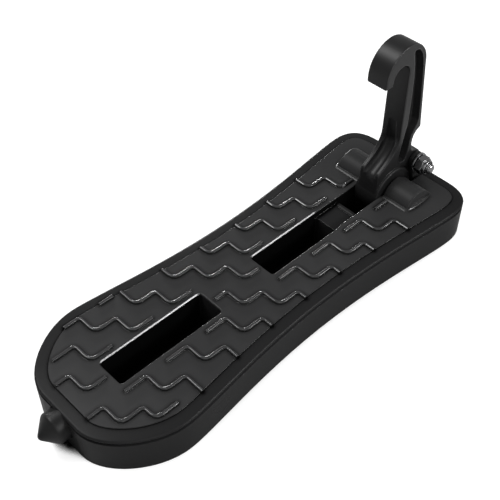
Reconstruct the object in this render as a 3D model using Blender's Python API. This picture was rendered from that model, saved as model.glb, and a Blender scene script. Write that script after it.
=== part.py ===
"""Folding car door step: a cast tread plate with a hook arm that hangs on the door latch loop.

Stations run along the plate from its front end towards the hinge, heights from the underside.
"""
import math

import bmesh
import bpy
from mathutils import Vector
from mathutils.geometry import interpolate_bezier

mm = 0.001

# Plate outline
plate_thickness = 18.6 * mm
shoulder_half_width = 35.9 * mm
waist_half_width = 30.0 * mm
nose_half_flat = 10.5 * mm
rear_half_flat = 20.7 * mm
front_shoulder_station = 31.8 * mm
waist_share = 0.49
rear_shoulder_behind_hinge = 7.5 * mm
tail_behind_hinge = 21.7 * mm

# Rim around the raised tread pad
rim_width = 5.2 * mm
pad_step = 0.4 * mm
rim_fall = 0.3 * mm
lip_height = 1.3 * mm
groove_height = 1.4 * mm
groove_depth = 0.8 * mm
edge_round = 0.5 * mm

# Underside pockets
wall_thickness = 3.2 * mm
skin_thickness = 4.6 * mm
stiffener_thickness = 2.0 * mm
stiffener_pitch = 20.0 * mm
slot_wall = 2.6 * mm

# Slots and cross web
slot_width = 13.16 * mm
slot_corner = 1.3 * mm
slot_edge_chamfer = 0.5 * mm
front_slot_station = 23.5 * mm
front_slot_length = 50.5 * mm
slot_gap = 28.52 * mm
rear_slot_length = 40.2 * mm
web_length = 14.2 * mm
web_depth = 3.7 * mm
web_lip_height = 0.6 * mm
web_lip_length = 2.6 * mm

# Zigzag tread ribs
rib_height = 0.9 * mm
rib_width = 1.8 * mm
rib_pitch = 20.0 * mm
rib_step_along = 10.34 * mm
rib_step_across = 9.946 * mm
rib_peak_radius = 1.7 * mm
rib_valley_radius = 3.0 * mm
rib_slot_margin = 2.0 * mm
rib_edge_overlap = 0.2 * mm
first_peak_station = 32.71 * mm
first_peak_across = -10.34 * mm
front_row_last_across = -27.4 * mm

# Hinge
hinge_depth = 2.5 * mm
pin_radius = 3.1 * mm
pin_end_cover = 1.5 * mm
clearance = 0.3 * mm
boss_radius = 8.2 * mm
boss_length = 13.4 * mm
boss_fillet = 1.6 * mm
boss_recess = 0.75 * mm
heel_notch_half_width = 9.8 * mm

# Hook arm, measured from the hinge axis while it stands upright
arm_thickness = 10.4 * mm
arm_reach = 76.2 * mm
arm_front = 1.5 * mm
arm_rear_at_hook = 12.0 * mm
arm_rear_at_foot = 16.0 * mm
arm_round = 0.6 * mm
hook_outer_radius = 12.5 * mm
throat_radius = 5.0 * mm
finger_length = 15.3 * mm
finger_thickness = 4.1 * mm
hub_radius = 12.0 * mm
recess_depth = 3.4 * mm
front_flange = 4.3 * mm
rear_flange = 2.2 * mm
foot_nose_height = 14.6 * mm
foot_nose_reach = 10.6 * mm
foot_curve_height = 28.5 * mm
foot_channel_width = 7.0 * mm
foot_channel_depth = 3.0 * mm

# Heel, its cross bolt and the rubber bumper
bolt_radius = 2.5 * mm
bolt_behind_hinge = 14.3 * mm
bolt_above_hinge = 9.8 * mm
lug_radius = 5.0 * mm
heel_drop = 5.5 * mm
heel_length = 20.0 * mm
hex_across_flats = 8.0 * mm
hex_head_height = 3.4 * mm
nut_height = 3.4 * mm
nut_collar_height = 1.4 * mm
bolt_end_reach = 1.9 * mm
washer_radius = 4.9 * mm
washer_thickness = 1.0 * mm
bumper_cheek = 2.0 * mm
bumper_reach = 26.5 * mm

# Pointed tip at the front end
tip_radius = 6.6 * mm
tip_reach = 10.0 * mm
tip_slope = 1.0
tip_height = 10.8 * mm
tip_blunt_radius = 1.1 * mm
tip_shank_radius = 3.0 * mm
tip_shank_length = 9.0 * mm
tip_pocket_depth = 1.6 * mm

# The folded hook lies in the rear slot, which sets the hinge's place and the plate's length
rear_slot_station = front_slot_station + front_slot_length + slot_gap
hinge_station = rear_slot_station + arm_reach + 2.6 * clearance
plate_length = hinge_station + tail_behind_hinge
rear_shoulder_station = hinge_station + rear_shoulder_behind_hinge
waist_station = front_shoulder_station + waist_share * (rear_shoulder_station - front_shoulder_station)

# The frame's origin is the middle of the underside of everything
bumper_end_station = hinge_station + bumper_reach
front_station = -tip_reach
origin_station = 0.5 * (front_station + max(plate_length, bumper_end_station))

half_slot = 0.5 * slot_width
half_arm = 0.5 * arm_thickness
pad_height = plate_thickness
rim_inner_height = pad_height - pad_step
rim_outer_height = rim_inner_height - rim_fall
lip_low_height = rim_outer_height - lip_height
groove_low_height = lip_low_height - groove_height
ceiling_height = plate_thickness - skin_thickness
hinge_height = pad_height - hinge_depth
web_station = rear_slot_station + rear_slot_length
hinge_slot_station = web_station + web_length
hub_half_width = half_slot - clearance
boss_inner = half_slot + boss_recess
boss_outer = boss_inner + boss_length
shelf_height = hinge_height - heel_drop - clearance
shelf_station = hinge_station + hub_radius + 5 * clearance


def along(station):
    return station - origin_station


def add_object(name, mesh_builder, material=None):
    """Makes one object from a bmesh and gives it outward faces."""
    bmesh.ops.recalc_face_normals(mesh_builder, faces=mesh_builder.faces)
    mesh = bpy.data.meshes.new(name)
    mesh_builder.to_mesh(mesh)
    mesh_builder.free()
    mesh.shade_smooth()
    mesh.set_sharp_from_angle(angle=math.radians(32))
    piece = bpy.data.objects.new(name, mesh)
    bpy.context.collection.objects.link(piece)
    if material:
        mesh.materials.append(material)
    return piece


def fill_loft(builder, rings):
    """Joins closed rings of equal count with quads and closes both ends."""
    layers = [[builder.verts.new(point) for point in ring] for ring in rings]
    count = len(layers[0])
    for lower, upper in zip(layers, layers[1:]):
        for k in range(count):
            n = (k + 1) % count
            builder.faces.new((lower[k], lower[n], upper[n], upper[k]))
    builder.faces.new(layers[0][::-1])
    builder.faces.new(layers[-1])


def loft(name, rings, material=None):
    builder = bmesh.new()
    fill_loft(builder, rings)
    return add_object(name, builder, material)


def prism(name, outline, low, high, material=None):
    """Raises a flat outline of (x, y) points from one height to another."""
    return loft(name, [[(x, y, z) for x, y in outline] for z in (low, high)], material)


def box(name, low, high):
    outline = [(low[0], low[1]), (high[0], low[1]), (high[0], high[1]), (low[0], high[1])]
    return prism(name, outline, low[2], high[2])


def circle_ring(centre, radius, axis, count=40, phase=0.0):
    """Points of a circle about a centre, in the plane square to the named axis."""
    ring = []
    for k in range(count):
        a = phase + 2 * math.pi * k / count
        u, v = radius * math.cos(a), radius * math.sin(a)
        offset = (0, u, v) if axis == "X" else (u, 0, v)
        ring.append(tuple(c + o for c, o in zip(centre, offset)))
    return ring


def turned(name, centre, axis, profile, count=40, material=None, phase=0.0):
    """A round solid from (distance along the axis, radius) pairs."""
    rings = []
    for distance, radius in profile:
        shift = (distance, 0, 0) if axis == "X" else (0, distance, 0)
        rings.append(circle_ring([c + s for c, s in zip(centre, shift)], radius, axis, count, phase))
    return loft(name, rings, material)


def combine(piece, other, operation):
    """Adds a Boolean of the other object, which stays in the file as a guide."""
    step = piece.modifiers.new(other.name, "BOOLEAN")
    step.operation = operation
    step.solver = "EXACT"
    step.object = other
    other.hide_render = True
    other.display_type = "WIRE"


def paint(name, colour, roughness, metallic):
    material = bpy.data.materials.new(name)
    material.use_nodes = True
    shader = material.node_tree.nodes["Principled BSDF"]
    shader.inputs["Base Color"].default_value = (*colour, 1)
    shader.inputs["Roughness"].default_value = roughness
    shader.inputs["Metallic"].default_value = metallic
    return material


def curve_run(start, start_handle, end_handle, end, count):
    """Points of one Bezier stretch, without its last point."""
    knots = [Vector(p) for p in (start, start_handle, end_handle, end)]
    points = interpolate_bezier(*knots, count + 1)
    return [(p.x, p.y) for p in points[:-1]]


def half_outline():
    """One side of the plate's outline, from the middle of the nose to the middle of the rear end."""
    nose = along(0)
    front = along(front_shoulder_station)
    waist = along(waist_station)
    rear = along(rear_shoulder_station)
    tail = along(plate_length)
    wide, narrow = shoulder_half_width, waist_half_width
    curl = 0.47
    run = [(nose, 0.0)]
    run += curve_run((nose, nose_half_flat), (nose, nose_half_flat + curl * (wide - nose_half_flat)),
                     (front - curl * (front - nose), wide), (front, wide), 14)
    run += curve_run((front, wide), (front + 0.16 * (waist - front), wide),
                     (waist - 0.48 * (waist - front), narrow), (waist, narrow), 12)
    run += curve_run((waist, narrow), (waist + 0.48 * (rear - waist), narrow),
                     (rear - 0.16 * (rear - waist), wide), (rear, wide), 12)
    run += curve_run((rear, wide), (rear + 0.7 * (tail - rear), wide),
                     (tail, rear_half_flat + 0.67 * (wide - rear_half_flat)), (tail, rear_half_flat), 10)
    run += [(tail, rear_half_flat), (tail, 0.5 * rear_half_flat), (tail, 0.0)]
    return run


def plate_outline():
    side = half_outline()
    return [(x, -y) for x, y in side] + [(x, y) for x, y in side[-2:0:-1]]


def inset(outline, distance):
    """Moves a closed counter-clockwise outline inwards by a distance, square to its edges."""
    moved = []
    count = len(outline)
    for k in range(count):
        before, here, after = (Vector(outline[(k + s) % count]) for s in (-1, 0, 1))
        into = (here - before).normalized()
        out_of = (after - here).normalized()
        normal_in = Vector((-into.y, into.x))
        normal_out = Vector((-out_of.y, out_of.x))
        middle = (normal_in + normal_out).normalized()
        moved.append(tuple(here + middle * distance / max(0.3, middle.dot(normal_in))))
    return moved


def rounded_box_outline(low_x, high_x, half_y, radius, count=3):
    points = []
    corners = ((high_x - radius, half_y - radius, 0), (low_x + radius, half_y - radius, 90),
               (low_x + radius, radius - half_y, 180), (high_x - radius, radius - half_y, 270))
    for cx, cy, start in corners:
        for k in range(count + 1):
            a = math.radians(start + 90 * k / count)
            points.append((cx + radius * math.cos(a), cy + radius * math.sin(a)))
    return points


def plate_shell(material):
    """The casting's outside: side wall, soft groove, rounded lip, flat rim and raised pad."""
    outline = plate_outline()
    sections = (
        (edge_round, 0.0),
        (0.0, edge_round),
        (0.0, groove_low_height),
        (0.35 * groove_depth, groove_low_height + 0.15 * groove_height),
        (groove_depth, groove_low_height + 0.42 * groove_height),
        (groove_depth, groove_low_height + 0.62 * groove_height),
        (0.4 * groove_depth, groove_low_height + 0.9 * groove_height),
        (0.1 * lip_height, lip_low_height + 0.12 * lip_height),
        (0.0, lip_low_height + 0.36 * lip_height),
        (0.14 * lip_height, lip_low_height + 0.66 * lip_height),
        (0.45 * lip_height, lip_low_height + 0.9 * lip_height),
        (lip_height, rim_outer_height + 0.1 * rim_fall),
        (rim_width, rim_inner_height),
        (rim_width + 0.25 * pad_step, pad_height - 0.3 * pad_step),
        (rim_width + 0.6 * pad_step, pad_height),
    )
    rings = []
    for distance, height in sections:
        rings.append([(x, y, height) for x, y in inset(outline, distance)])
    return loft("step_plate", rings, material)


def pad_half_width(x):
    """Half the pad's width at a place along the plate."""
    side = inset(plate_outline(), rim_width)
    upper = [p for p in side if p[1] > 0]
    best = 0.0
    for (x0, y0), (x1, y1) in zip(upper, upper[1:]):
        if min(x0, x1) <= x <= max(x0, x1) and abs(x1 - x0) > 1e-9:
            best = max(best, y0 + (y1 - y0) * (x - x0) / (x1 - x0))
    return best


def rib_allowed(x, y, widths):
    """True where a rib may stand: on the pad, clear of the slots and the hinge bosses."""
    station = x + origin_station
    if station > hinge_station - boss_radius - boss_fillet + clearance:
        return False
    if station < rim_width - rib_edge_overlap or abs(y) > widths(x) + rib_edge_overlap:
        return False
    slots = ((front_slot_station, front_slot_station + front_slot_length),
             (rear_slot_station, plate_length))
    for start, end in slots:
        beside = start - rib_slot_margin < station < end + rib_slot_margin
        if beside and abs(y) < half_slot + rib_slot_margin:
            return False
    return True


def rib_paths():
    """Centre lines of the ribs: staircases of steps along and across, cut where ribs may not stand."""
    places = [along(s * mm) for s in range(0, int(plate_length / mm) + 1, 2)]
    table = [(x, pad_half_width(x)) for x in places]

    def widths(x):
        for (x0, w0), (x1, w1) in zip(table, table[1:]):
            if x0 <= x <= x1:
                return w0 + (w1 - w0) * (x - x0) / (x1 - x0)
        return 0.0

    rows = range(-1, int((plate_length - first_peak_station) / rib_pitch) + 2)
    steps = 2 + int(shoulder_half_width / rib_step_across)
    paths = []
    for row in rows:
        corners = []
        for step in range(-steps, steps):
            x = along(first_peak_station + rib_step_along * step + rib_pitch * row)
            y = first_peak_across - rib_step_across * step
            corners += [(x, y, rib_peak_radius), (x, y - rib_step_across, rib_valley_radius)]
        if row == rows[0]:
            lowest = front_row_last_across - rib_step_across
            corners = [(x, max(y, front_row_last_across), r) for x, y, r in corners if y > lowest]
        current = []
        for (x0, y0, r0), (x1, y1, r1) in zip(corners, corners[1:]):
            length = math.hypot(x1 - x0, y1 - y0)
            if length < 0.1 * mm:
                continue
            marks = [k / 40 for k in range(41)]
            inside = [t for t in marks if rib_allowed(x0 + (x1 - x0) * t, y0 + (y1 - y0) * t, widths)]
            kept = bool(inside) and (inside[-1] - inside[0]) * length > 2.6 * mm
            if not kept:
                if len(current) > 1:
                    paths.append(current)
                current = []
                continue
            start = (x0 + (x1 - x0) * inside[0], y0 + (y1 - y0) * inside[0])
            end = (x0 + (x1 - x0) * inside[-1], y0 + (y1 - y0) * inside[-1])
            if inside[0] > 0 and current:
                paths.append(current)
                current = []
            if not current:
                current = [(*start, 0.0)]
            current.append((*end, r1))
            if inside[-1] < 1:
                paths.append(current)
                current = []
        if len(current) > 1:
            paths.append(current)
    return paths


def round_corners(path, segments=3):
    """Replaces each inner corner of a path by an arc of its own radius."""
    points = [path[0][:2]]
    for (bx, by, _), (hx, hy, radius), (ax, ay, _) in zip(path, path[1:], path[2:]):
        here = Vector((hx, hy))
        back = Vector((bx, by)) - here
        ahead = Vector((ax, ay)) - here
        reach = min(radius, 0.49 * back.length, 0.49 * ahead.length)
        start = here + back.normalized() * reach
        end = here + ahead.normalized() * reach
        centre = start + ahead.normalized() * reach
        for k in range(segments + 1):
            a = 0.5 * math.pi * k / segments
            point = centre + (start - centre) * math.cos(a) + (end - centre) * math.sin(a)
            points.append(tuple(point))
    points.append(path[-1][:2])
    return points


def tread_ribs():
    """All ribs as one guide object of separate rounded bars."""
    builder = bmesh.new()
    half = 0.5 * rib_width
    low = -1.5 * pad_step
    section = ((-half, low), (-0.93 * half, 0.3 * rib_height), (-0.68 * half, 0.72 * rib_height),
               (-0.27 * half, 0.97 * rib_height), (0.27 * half, 0.97 * rib_height),
               (0.68 * half, 0.72 * rib_height), (0.93 * half, 0.3 * rib_height), (half, low))
    for path in rib_paths():
        points = [Vector(p) for p in round_corners(path)]
        rings = []
        for k, here in enumerate(points):
            before = points[max(k - 1, 0)]
            after = points[min(k + 1, len(points) - 1)]
            into = (here - before).normalized() if k else (after - here).normalized()
            out_of = (after - here).normalized() if k < len(points) - 1 else into
            ahead = (into + out_of).normalized()
            side = Vector((-ahead.y, ahead.x)) / max(0.5, ahead.dot(into))
            rings.append([(here.x + side.x * u, here.y + side.y * u, pad_height + v) for u, v in section])
        fill_loft(builder, rings)
    return add_object("tread_ribs_guide", builder)


def hinge_boss(side):
    """One raised half-round boss beside the hinge slot, with filleted feet and a rounded outer end."""
    foot = math.sqrt(boss_radius ** 2 - hinge_depth ** 2)
    lean = math.asin(foot / boss_radius)
    crown = []
    for k in range(13):
        a = lean * (k / 6 - 1) * 0.93
        crown.append((boss_radius * math.sin(a), boss_radius * math.cos(a) - hinge_depth))
    ends = [(foot + boss_fillet, -0.15 * mm), (foot + 0.45 * boss_fillet, 0.16 * boss_fillet)]
    profile = [(-u, v) for u, v in ends] + crown + ends[::-1]
    # Each pair gives the distance past the outer end and the share of the height there
    finish = ((-0.9, 1.0), (-0.35, 0.95), (0.0, 0.8), (0.25, 0.36), (0.55, 0.17), (1.05, 0.05), (1.7, -0.04))
    rings = []
    for past, share in ((-boss_length / mm - 0.6, 1.0),) + finish:
        y = side * (boss_outer + past * mm)
        narrow = 1.0 - 0.06 * max(0.0, past)
        ring = [(along(hinge_station) + u * narrow, y, pad_height + v * share) for u, v in profile]
        ring += [(along(hinge_station) + foot, y, pad_height - pad_step),
                 (along(hinge_station) - foot, y, pad_height - pad_step)]
        rings.append(ring)
    return loft("boss_guide", rings)


def slot_cutter(name, start, end):
    """A through slot with a chamfered top edge."""
    outline = rounded_box_outline(along(start), along(end), half_slot, slot_corner)
    grown = inset(outline, -slot_edge_chamfer - 0.2 * mm)
    rings = [[(x, y, -mm) for x, y in outline],
             [(x, y, pad_height - slot_edge_chamfer) for x, y in outline],
             [(x, y, pad_height + 0.2 * mm) for x, y in grown]]
    return loft(name, rings)


def mirrored(half):
    """Closes a half outline, given from front to rear on the +Y side, across the middle line."""
    return [(x, -y) for x, y in half] + half[::-1]


def hinge_slot_cutter():
    """The opening for the hub: a little wider between the bosses, then flared to the heel notch."""
    bosses = hinge_station - boss_radius
    half = [(along(hinge_slot_station), half_slot), (along(bosses - mm), half_slot),
            (along(bosses), boss_inner), (along(hinge_station + 1.5 * mm), boss_inner),
            (along(hinge_station + hub_radius - 2 * mm), heel_notch_half_width),
            (along(shelf_station), heel_notch_half_width)]
    return prism("hinge_slot_guide", mirrored(half), -mm, pad_height + 2 * boss_radius)


def heel_notch_cutter():
    """The notch for the heel, open at the plate's rear end, with a floor that stops the arm."""
    low = (along(shelf_station - mm), -heel_notch_half_width, shelf_height)
    high = (along(plate_length + 2 * mm), heel_notch_half_width, pad_height + 2 * boss_radius)
    return box("heel_notch_guide", low, high)


def web_cutter():
    """The shallow channel over the cross web, so that the folded arm lies clear of it."""
    low = (along(web_station - mm), -half_slot, pad_height - web_depth)
    high = (along(hinge_slot_station + mm), half_slot, pad_height + mm)
    return box("web_channel_guide", low, high)


def web_lip():
    """A low rounded lip across the web's hinge end."""
    end = along(hinge_slot_station)
    base = pad_height - web_depth
    length, height = web_lip_length, web_lip_height
    section = ((end - length, base - 0.3 * mm), (end - 0.8 * length, base + 0.6 * height),
               (end - 0.55 * length, base + height), (end - 0.2 * length, base + height),
               (end, base + 0.5 * height), (end, base - 0.3 * mm))
    rings = [[(x, y, z) for x, z in section] for y in (-half_slot - 0.2 * mm, half_slot + 0.2 * mm)]
    return loft("web_lip_guide", rings)


def underside_pockets():
    """The hollow under the pad, with slot walls, stiffeners, hinge block and tip block left in it."""
    hollow = prism("pockets_guide", inset(plate_outline(), wall_thickness), -mm, ceiling_height)
    wall = half_slot + slot_wall
    top = ceiling_height + mm
    front_slot_end = front_slot_station + front_slot_length
    standing = [
        ("front_slot_wall", front_slot_station - slot_wall, front_slot_end + slot_wall, wall),
        ("rear_slot_wall", rear_slot_station - slot_wall, plate_length, wall),
        ("hinge_block", hinge_station - boss_radius - 2 * mm, hinge_station + boss_radius + mm,
         boss_outer + 2 * mm),
        ("tip_block", 0.0, tip_pocket_depth + tip_shank_length + 3 * mm, tip_radius + 3 * mm),
        ("tail_block", shelf_station, plate_length, heel_notch_half_width + slot_wall),
        ("centre_rib", 0.0, plate_length, 0.5 * stiffener_thickness),
    ]
    count = int(plate_length / stiffener_pitch)
    spacing = plate_length / count
    for k in range(1, count):
        middle = k * spacing
        start = middle - 0.5 * stiffener_thickness
        standing.append((f"stiffener_{k}", start, start + stiffener_thickness, shoulder_half_width + mm))
    for name, start, end, half in standing:
        block = box(name + "_guide", (along(start), -half, -2 * mm), (along(end), half, top))
        combine(hollow, block, "DIFFERENCE")
    return hollow


def pin_saddle():
    """The pin's bore, open towards the underside so that the pin goes in from below."""
    centre_x = along(hinge_station)
    radius = pin_radius + clearance
    outline = [(centre_x + radius, -mm)]
    for k in range(17):
        a = math.pi * k / 16
        outline.append((centre_x + radius * math.cos(a), hinge_height + radius * math.sin(a)))
    outline.append((centre_x - radius, -mm))
    reach = boss_outer - pin_end_cover
    rings = [[(x, y, z) for x, z in outline] for y in (-reach, reach)]
    return loft("pin_saddle_guide", rings)


def make_step_plate(material):
    plate = plate_shell(material)
    combine(plate, tread_ribs(), "UNION")
    for side in (-1, 1):
        combine(plate, hinge_boss(side), "UNION")
    combine(plate, underside_pockets(), "DIFFERENCE")
    front_slot_end = front_slot_station + front_slot_length
    combine(plate, slot_cutter("front_slot_guide", front_slot_station, front_slot_end), "DIFFERENCE")
    combine(plate, slot_cutter("rear_slot_guide", rear_slot_station, web_station), "DIFFERENCE")
    combine(plate, web_cutter(), "DIFFERENCE")
    combine(plate, web_lip(), "UNION")
    combine(plate, hinge_slot_cutter(), "DIFFERENCE")
    combine(plate, heel_notch_cutter(), "DIFFERENCE")
    combine(plate, pin_saddle(), "DIFFERENCE")
    tip_centre = (along(0), 0, tip_height)
    wide = tip_radius + clearance
    narrow = tip_shank_radius + clearance
    deep = tip_pocket_depth + tip_shank_length + clearance
    pocket = turned("tip_pocket_guide", tip_centre, "X", [(-mm, wide), (tip_pocket_depth, wide)])
    bore = turned("tip_bore_guide", tip_centre, "X", [(0.0, narrow), (deep, narrow)], 28)
    combine(plate, pocket, "DIFFERENCE")
    combine(plate, bore, "DIFFERENCE")
    return plate


def arc(cx, cz, radius, start, end, count):
    """Points of an arc in the side view, angles in degrees from +X towards +Z, both ends included."""
    points = []
    for k in range(count + 1):
        a = math.radians(start + (end - start) * k / count)
        points.append((cx + radius * math.cos(a), cz + radius * math.sin(a)))
    return points


def foot_front():
    """The foot's front edge in the side view, from the straight arm down to the nose."""
    return curve_run((arm_front, foot_curve_height), (arm_front, 0.77 * foot_curve_height),
                     (-0.38 * foot_nose_reach, foot_nose_height + 3.4 * mm),
                     (-foot_nose_reach + mm, foot_nose_height), 9)


def arm_outline():
    """Side outline of the arm about the hinge axis: hook, rear edge, heel, hub, foot and front."""
    hook_z = arm_reach - hook_outer_radius
    hook_x = arm_rear_at_hook - hook_outer_radius
    throat_x = arm_front - throat_radius
    throat_z = hook_z - 0.9 * mm
    finger_z = arm_reach - finger_length
    outer = hook_x - hook_outer_radius
    points = []
    points += arc(throat_x, throat_z, throat_radius, 0, 180, 18)
    points += [(outer + finger_thickness, finger_z), (outer, finger_z)]
    points += arc(hook_x, hook_z, hook_outer_radius, 180, 0, 28)
    heel_top = bolt_above_hinge + lug_radius
    points += [(arm_rear_at_foot - 0.3 * mm, heel_top + 16.0 * mm),
               (arm_rear_at_foot, heel_top + 13.8 * mm), (arm_rear_at_foot - 0.2 * mm, heel_top + 13.1 * mm),
               (arm_rear_at_foot - 0.8 * mm, heel_top + 12.6 * mm),
               (arm_rear_at_foot - 2.6 * mm, heel_top + 11.7 * mm),
               (arm_rear_at_foot - 3.9 * mm, heel_top + 10.2 * mm),
               (arm_rear_at_foot - 4.5 * mm, heel_top + 8.4 * mm),
               (arm_rear_at_foot - 4.7 * mm, heel_top + 6.2 * mm),
               (arm_rear_at_foot - 4.3 * mm, heel_top + 3.4 * mm),
               (arm_rear_at_foot - 3.5 * mm, heel_top + 1.1 * mm)]
    points += arc(bolt_behind_hinge, bolt_above_hinge, lug_radius, 78, 0, 6)
    points += [(heel_length, bolt_above_hinge - 1.5 * lug_radius),
               (heel_length, -heel_drop + mm), (heel_length - mm, -heel_drop)]
    under = math.degrees(math.asin(heel_drop / hub_radius))
    points += [p for p in arc(0, 0, hub_radius, -under, -200, 18)]
    points += [(-foot_nose_reach - 0.2 * mm, foot_nose_height - 6.4 * mm),
               (-foot_nose_reach - 0.1 * mm, foot_nose_height - 3.0 * mm),
               (-foot_nose_reach + 0.1 * mm, foot_nose_height - 1.3 * mm),
               (-foot_nose_reach + 0.4 * mm, foot_nose_height - 0.5 * mm),
               (-foot_nose_reach + mm, foot_nose_height)]
    points += foot_front()[::-1]
    # The walk above runs clockwise, so it is turned round
    return points[::-1]


def shift_outline(outline):
    return [(along(hinge_station) + x, hinge_height + z) for x, z in outline]


def side_loft(name, outline, sections, material=None):
    """Lofts a side outline across the arm; each section is (inset, distance across)."""
    rings = []
    for distance, y in sections:
        rings.append([(x, y, z) for x, z in inset(outline, distance)])
    return loft(name, rings, material)


def recess_outline():
    """The sunk field on each side of the arm, between its front and rear flanges."""
    front = arm_front + front_flange
    hook_z = arm_reach - hook_outer_radius
    low = hub_radius + 2.0 * mm
    heel_top = bolt_above_hinge + lug_radius
    straight = heel_top + 19.2 * mm
    rise = hook_z - 2.7 * mm - straight
    rear_low = arm_rear_at_foot - rear_flange
    rear_high = arm_rear_at_hook - rear_flange
    return [(front - 2.8 * mm, low + 3.7 * mm), (front - 2.3 * mm, low + 0.9 * mm),
            (front - 1.2 * mm, low - 0.3 * mm), (rear_low - 6.7 * mm, low - 0.6 * mm),
            (rear_low - 5.8 * mm, heel_top + 0.6 * mm), (rear_low - 5.2 * mm, heel_top + 4.7 * mm),
            (rear_low - 4.9 * mm, heel_top + 8.5 * mm), (rear_low - 4.1 * mm, heel_top + 11.6 * mm),
            (rear_low - 2.6 * mm, heel_top + 14.1 * mm), (rear_low - 1.1 * mm, heel_top + 16.4 * mm),
            (rear_low - 0.7 * mm, straight), (rear_low - 1.0 * mm, straight + 0.12363 * rise),
            (rear_high + 2.3 * mm, straight + 0.40585 * rise),
            (rear_high + 1.3 * mm, straight + 0.77274 * rise),
            (rear_high + 0.5 * mm, hook_z - 2.7 * mm), (rear_high - 0.4 * mm, hook_z + 2.2 * mm),
            (rear_high - 1.8 * mm, hook_z + 5.6 * mm), (rear_high - 3.4 * mm, hook_z + 7.6 * mm),
            (front - 0.9 * mm, hook_z + 8.6 * mm), (front - 2.4 * mm, hook_z + 8.6 * mm),
            (front - 2.9 * mm, hook_z + 7.4 * mm), (front - 1.6 * mm, hook_z + 2.4 * mm),
            (front - 0.5 * mm, straight + 0.9 * rise), (front + 0.1 * mm, straight + 0.49052 * rise),
            (front + 0.2 * mm, straight + 0.12363 * rise), (front, straight - 0.472 * mm),
            (front - 0.9 * mm, straight - 4.282 * mm),
            (front - 1.9 * mm, low + 10.1 * mm)]


def foot_channel():
    """A rounded channel down the front of the foot, which runs out in the straight part above it."""
    path = [(arm_front, foot_curve_height + 8 * mm), (arm_front, foot_curve_height + 4 * mm)] + foot_front()
    path += [(-foot_nose_reach + mm, foot_nose_height),
             (-foot_nose_reach - 2 * mm, foot_nose_height - 1.8 * mm)]
    path = [Vector(p) for p in shift_outline(path)]
    width = 0.5 * foot_channel_width
    rings = []
    for k, here in enumerate(path):
        before = path[max(k - 1, 0)]
        after = path[min(k + 1, len(path) - 1)]
        ahead = (after - before).normalized()
        out = Vector((ahead.y, -ahead.x))
        if out.x > 0:
            out = -out
        grown = min(1.0, (k + 0.5) / 4.5)
        floor = -foot_channel_depth * grown + 0.35 * mm * (1 - grown)
        profile = ((-1.0, mm), (-0.86, 0.55 * floor), (-0.5, 0.9 * floor), (0.0, floor),
                   (0.5, 0.9 * floor), (0.86, 0.55 * floor), (1.0, mm))
        rings.append([(here.x + out.x * v, u * width * (0.6 + 0.4 * grown), here.y + out.y * v)
                      for u, v in profile])
    return loft("foot_channel_guide", rings)


def make_hook_arm(material):
    outline = shift_outline(arm_outline())
    soft = ((arm_round, 0.0), (0.3 * arm_round, 0.3 * arm_round), (0.0, arm_round))
    sections = [(distance, -half_arm + depth) for distance, depth in soft]
    sections += [(distance, half_arm - depth) for distance, depth in soft[::-1]]
    arm = side_loft("hook_arm", outline, sections, material)
    hinge = (along(hinge_station), 0, hinge_height)
    edge = 0.5 * mm
    side = hub_half_width
    hub = turned("hub_guide", hinge, "Y",
                 [(-side, hub_radius - edge), (-side + edge, hub_radius),
                  (side - edge, hub_radius), (side, hub_radius - edge)], 48)
    combine(arm, hub, "UNION")
    field = shift_outline(recess_outline())
    floor = half_arm - recess_depth
    for side in (-1, 1):
        walls = [(0.9 * mm, side * floor), (0.4 * mm, side * (floor + 0.5 * mm)),
                 (-0.5 * mm, side * (half_arm + 0.5 * mm))]
        combine(arm, side_loft("recess_guide", field, walls), "DIFFERENCE")
    combine(arm, foot_channel(), "DIFFERENCE")
    hole_radius = pin_radius + clearance
    bore = turned("hub_bore_guide", hinge, "Y",
                  [(-hub_half_width - mm, hole_radius), (hub_half_width + mm, hole_radius)], 32)
    combine(arm, bore, "DIFFERENCE")
    reach = half_arm + mm
    hole_radius = bolt_radius + clearance
    hole = turned("bolt_hole_guide", bolt_centre(), "Y", [(-reach, hole_radius), (reach, hole_radius)], 24)
    combine(arm, hole, "DIFFERENCE")
    return arm


def bolt_centre():
    return (along(hinge_station + bolt_behind_hinge), 0, hinge_height + bolt_above_hinge)


def make_hinge_pin(material):
    reach = boss_outer - pin_end_cover - clearance
    edge = 0.5 * mm
    return turned("hinge_pin", (along(hinge_station), 0, hinge_height), "Y",
                  [(-reach, pin_radius - edge), (-reach + edge, pin_radius), (reach - edge, pin_radius),
                   (reach, pin_radius - edge)], 32, material)


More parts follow.
